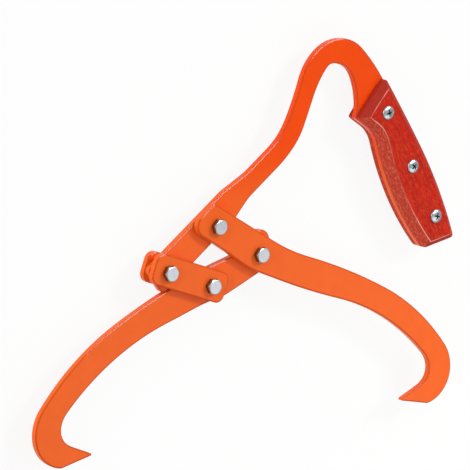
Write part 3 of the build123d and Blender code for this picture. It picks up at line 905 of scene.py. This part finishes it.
def inset_rings(outline, insets):
    """Rings inside an outline at set distances from it.

    A column runs straight from its point of the outline to the nearest point between the screws. The
    distance to the outline is measured at close steps along it, and each ring takes the place where that
    distance is its inset.
    """
    front, along, span = grip_spine()
    middle = front + np.clip((outline - front) @ along, 0, span)[:, None] * along
    farthest = 0.9
    steps = np.linspace(0, farthest, num=73)
    gaps = np.array([distance_to(outline, outline + step * (middle - outline)) for step in steps])
    column = np.arange(len(outline))
    after = np.array([(gaps < inset).cumprod(axis=0).sum(axis=0) for inset in insets])
    after = after.clip(1, len(steps) - 1)
    low, high = gaps[after - 1, column], gaps[after, column]
    reach = steps[after - 1] + (np.array(insets)[:, None] - low) / (high - low) * steps[1]
    return outline + reach.clip(0, 1)[..., None] * (middle - outline)


def scale_marks(outline, rows):
    """Marks for the wood of a scale, from nought to one, for every row and column of its side.

    The bevel starts halfway down the rows of the arris. Its stain is darker where it cuts across the grain,
    and on the outer side of the grip, which faces away from the jaws. The arris is rubbed along its middle
    row, less towards the middle of the grip, and not at all on the outer side.
    """
    front, along, span = grip_spine()
    run = run_of(outline)
    turn_start, turn_end = 0.5, 0.9
    outer_side = smooth_step(-run @ along, turn_start, turn_end)
    across_grain = smooth_step(np.abs(run @ (-along[1], along[0])), turn_start, turn_end)
    down_arris = smooth_step(np.arange(rows), ARRIS_STEPS // 2, ARRIS_STEPS - 1)
    on_bevel = np.outer(down_arris, np.ones(len(outline)))
    darker = np.maximum(across_grain, outer_side) * on_bevel
    least_at, least_rub = 0.4, 0.25
    from_least = np.abs((outline - front) @ along / span - least_at)
    rub = least_rub + (1 - least_rub) * smooth_step(from_least, start=0.15, end=0.4)
    on_arris = np.zeros(on_bevel.shape)
    on_arris[1 : 1 + ARRIS_STEPS] = np.sin(np.linspace(0, np.pi, ARRIS_STEPS))[:, None] ** 4
    on_arris *= (1 - outer_side) * rub
    return {"bevel": on_bevel, "end_grain": darker, "arris": on_arris}


def grip_scale(node, material):
    """A wooden scale: a bevelled section carried round the outline of the tang, with sanded arrises.

    The section runs from the face down the bevel and the side to the tang. Its points are insets from the
    outline and heights over the tang, so the bevels meet in mitres at the corners. Each point of the outline
    is the mean of nine points in a row, which rounds the corners a little.
    """
    wood = settings().wood
    low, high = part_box(node)
    faces_up = node == "front_scale"
    tang, face = (low.z, high.z) if faces_up else (high.z, low.z)
    thickness, bevel = high.z - low.z, wood.bevel_width
    corners = [(bevel + 2 * wood.arris, thickness), (bevel, thickness), (0.0, thickness - bevel), (0.0, 0.0)]
    profile = round_corners(section(corners, (1,)), wood.arris, steps=ARRIS_STEPS)[:, 0]
    outline = outline_of(node, at_top=not faces_up, step=0.6 * MM)
    outline = np.mean([np.roll(outline, shift, axis=0) for shift in range(-4, 5)], axis=0)
    rings = inset_rings(outline, profile[:, 0])
    heights = tang + profile[:, 1] * np.sign(face - tang)
    downwards = slice(None) if faces_up else slice(None, None, -1)
    points, faces = slab(rings[downwards], heights[downwards], holes_in(node))
    marks = scale_marks(outline, len(profile)).items()
    attributes = {mark: mark_first(values[downwards], points) for mark, values in marks}
    return add_piece(f"{node}_wood", points, faces, material, node, attributes=attributes)


def add_softbox(name, watts, spot, size, aim=(0.0, 0.0, 0.0), roll=0.0, lights=True, mirrored=True):
    """A soft light that points from its place at an aim, rolled by an angle about that line.

    The size is its width and depth. It lights the surfaces, shows in their reflections, or does both.
    """
    lamp = bpy.data.lights.new(name, "AREA")
    lamp.shape = "RECTANGLE"
    lamp.size, lamp.size_y = size
    lamp.energy = watts
    softbox = link_object(name, lamp)
    softbox.location = spot
    softbox.visible_diffuse = lights
    softbox.visible_glossy = mirrored
    turn = (Vector(spot) - Vector(aim)).to_track_quat("Z", "Y") @ Quaternion((0.0, 0.0, 1.0), roll)
    softbox.rotation_euler = turn.to_euler()


def add_lights():
    """A key light, a strip that only reflections show, a weak fill and a low softbox by the right hook."""
    stage = settings().stage
    add_softbox("key", stage.key, spot=(1.72, 1.32, 2.04), size=(0.76, 0.76), mirrored=False)
    add_softbox("glint", stage.glint, spot=(1.2, 1.44, 2.34), size=(0.5, 2.3), roll=-0.63, lights=False)
    add_softbox("fill", stage.fill, spot=(-1.0, 0.4, 0.2), size=(0.8, 0.8))
    add_softbox("sheen", stage.sheen, spot=(0.28, -0.26, 0.4), size=(0.5, 0.36), aim=(0.28, -0.26, 0.0))


def add_studio():
    """A world of walls and a grey ceiling. The walls behind and on the left are white, the others dim.

    The brightness goes by the direction in which the world is seen: by its height over the floor, and by how
    far it turns from the dim walls to the white ones.
    """
    stage = settings().stage
    white_side, half_turn = Vector((-0.7, 0.7, 0.0)), 0.6
    wall_top, ceiling_edge = 0.1, 0.4
    world = bpy.data.worlds.new("studio")
    world.use_nodes = True
    tree = world.node_tree
    tree.nodes.clear()
    direction = add_node(tree, "ShaderNodeTexCoord").outputs["Generated"]
    height = add_node(tree, "ShaderNodeSeparateXYZ", {0: direction}).outputs["Z"]
    sides = {0: direction, 1: white_side}
    to_white = add_node(tree, "ShaderNodeVectorMath", sides, operation="DOT_PRODUCT").outputs["Value"]
    turn = {
        "Value": to_white,
        "From Min": -half_turn,
        "From Max": half_turn,
        "To Min": stage.dim_walls,
        "To Max": stage.walls,
    }
    wall = add_node(tree, "ShaderNodeMapRange", turn, interpolation_type="SMOOTHSTEP").outputs[0]
    rise = {
        "Value": height,
        "From Min": wall_top,
        "From Max": ceiling_edge,
        "To Min": wall,
        "To Max": stage.ceiling,
    }
    level = add_node(tree, "ShaderNodeMapRange", rise, interpolation_type="SMOOTHSTEP").outputs[0]
    light = add_node(tree, "ShaderNodeBackground", {"Color": linear("#FFFFFF"), "Strength": level})
    add_node(tree, "ShaderNodeOutputWorld", {"Surface": light.outputs[0]})
    bpy.context.scene.world = world


def add_floor():
    """A wide pale floor under the lowest point of the tongs."""
    half, level = 4.0, cad_box[0][2]
    mesh = bpy.data.meshes.new("floor")
    corners = [(-half, -half, level), (half, -half, level), (half, half, level), (-half, half, level)]
    mesh.from_pydata(corners, [], [(0, 1, 2, 3)])
    mesh.materials.append(pale_floor())
    link_object("floor", mesh)


def add_camera():
    """A long lens on the place that it aims at, with the frame's Y upright in the picture."""
    stage = settings().stage
    lens = bpy.data.cameras.new("camera")
    lens.lens = stage.focal
    lens.sensor_width = 36.0
    camera = link_object("camera", lens)
    back = (Vector(stage.eye) - Vector(stage.aim)).normalized()
    right = Vector((0.0, 1.0, 0.0)).cross(back).normalized()
    axes = Matrix((right, back.cross(right), back)).transposed().to_4x4()
    camera.matrix_world = Matrix.Translation(stage.eye) @ axes
    bpy.context.scene.camera = camera


class MakePlates(bpy.types.Operator):
    """Makes the handle bar, the jaws and the links"""

    bl_idname = "log_tongs.plates"
    bl_label = "Coated plates"

    def execute(self, context):
        material = powder_coat()
        for node in PLATES:
            plate_piece(node, material)
        return {"FINISHED"}


class MakeScales(bpy.types.Operator):
    """Makes the wooden scales of the grip"""

    bl_idname = "log_tongs.scales"
    bl_label = "Grip scales"

    def execute(self, context):
        along = grip_spine()[1]
        material = stained_wood(np.arctan2(along[1], along[0]))
        for node in ("front_scale", "rear_scale"):
            grip_scale(node, material)
        return {"FINISHED"}


class MakeBolts(bpy.types.Operator):
    """Makes the four pivot bolts"""

    bl_idname = "log_tongs.bolts"
    bl_label = "Pivot bolts"

    def execute(self, context):
        material = zinc_plate("zinc_plated_steel", settings().zinc.roughness)
        for pivot in PIVOTS:
            pivot_bolt(f"{pivot}_bolt", material)
        return {"FINISHED"}


class MakeNuts(bpy.types.Operator):
    """Makes the lock nuts behind the pivot bolts"""

    bl_idname = "log_tongs.nuts"
    bl_label = "Lock nuts"

    def execute(self, context):
        material = zinc_plate("zinc_plated_steel", settings().zinc.roughness)
        for pivot in PIVOTS:
            lock_nut(f"{pivot}_nut", material)
        return {"FINISHED"}


class MakeInserts(bpy.types.Operator):
    """Makes the nylon inserts of the lock nuts"""

    bl_idname = "log_tongs.inserts"
    bl_label = "Nylon inserts"

    def execute(self, context):
        material = moulded_nylon()
        for pivot in PIVOTS:
            nylon_insert(f"{pivot}_insert", material)
        return {"FINISHED"}


class MakeScrews(bpy.types.Operator):
    """Makes the grip screws"""

    bl_idname = "log_tongs.screws"
    bl_label = "Grip screws"

    def execute(self, context):
        material = zinc_plate("polished_zinc_plated_steel", settings().zinc.polish)
        for spot, turn in zip(GRIP_PLACES, DRIVER_TURNS):
            grip_screw(f"grip_screw_{spot}", turn, material)
        return {"FINISHED"}


class MakeBarrels(bpy.types.Operator):
    """Makes the barrel nuts that the grip screws turn in"""

    bl_idname = "log_tongs.barrels"
    bl_label = "Barrel nuts"

    def execute(self, context):
        material = zinc_plate("polished_zinc_plated_steel", settings().zinc.polish)
        for spot, turn in zip(GRIP_PLACES, DRIVER_TURNS):
            barrel_nut(f"grip_barrel_{spot}", turn, material)
        return {"FINISHED"}


class MakeStage(bpy.types.Operator):
    """Makes the floor, the lights and the camera"""

    bl_idname = "log_tongs.stage"
    bl_label = "Stage"

    def execute(self, context):
        context.scene.view_settings.view_transform = "Standard"
        add_floor()
        add_studio()
        add_lights()
        add_camera()
        return {"FINISHED"}


OPERATORS = (MakePlates, MakeScales, MakeBolts, MakeNuts, MakeInserts, MakeScrews, MakeBarrels, MakeStage)


class LogTongsPanel(bpy.types.Panel):
    """Lists the pieces of the tongs"""

    bl_idname = "VIEW3D_PT_log_tongs"
    bl_label = "Log tongs"
    bl_space_type = "VIEW_3D"
    bl_region_type = "UI"
    bl_category = "Log tongs"

    def draw(self, context):
        for operator in OPERATORS:
            self.layout.operator(operator.bl_idname)


GROUPS = (PaintSettings, WoodSettings, ZincSettings, NylonSettings, StageSettings, LogTongsSettings)
CLASSES = (*GROUPS, *OPERATORS, LogTongsPanel)


def register():
    for cls in CLASSES:
        bpy.utils.register_class(cls)
    bpy.types.Scene.log_tongs = PointerProperty(type=LogTongsSettings)


def unregister():
    del bpy.types.Scene.log_tongs
    for cls in reversed(CLASSES):
        bpy.utils.unregister_class(cls)


def main():
    register()
    bpy.ops.log_tongs.plates()
    bpy.ops.log_tongs.scales()
    bpy.ops.log_tongs.bolts()
    bpy.ops.log_tongs.nuts()
    bpy.ops.log_tongs.inserts()
    bpy.ops.log_tongs.screws()
    bpy.ops.log_tongs.barrels()
    bpy.ops.log_tongs.stage()


if __name__ == "__main__":
    main()
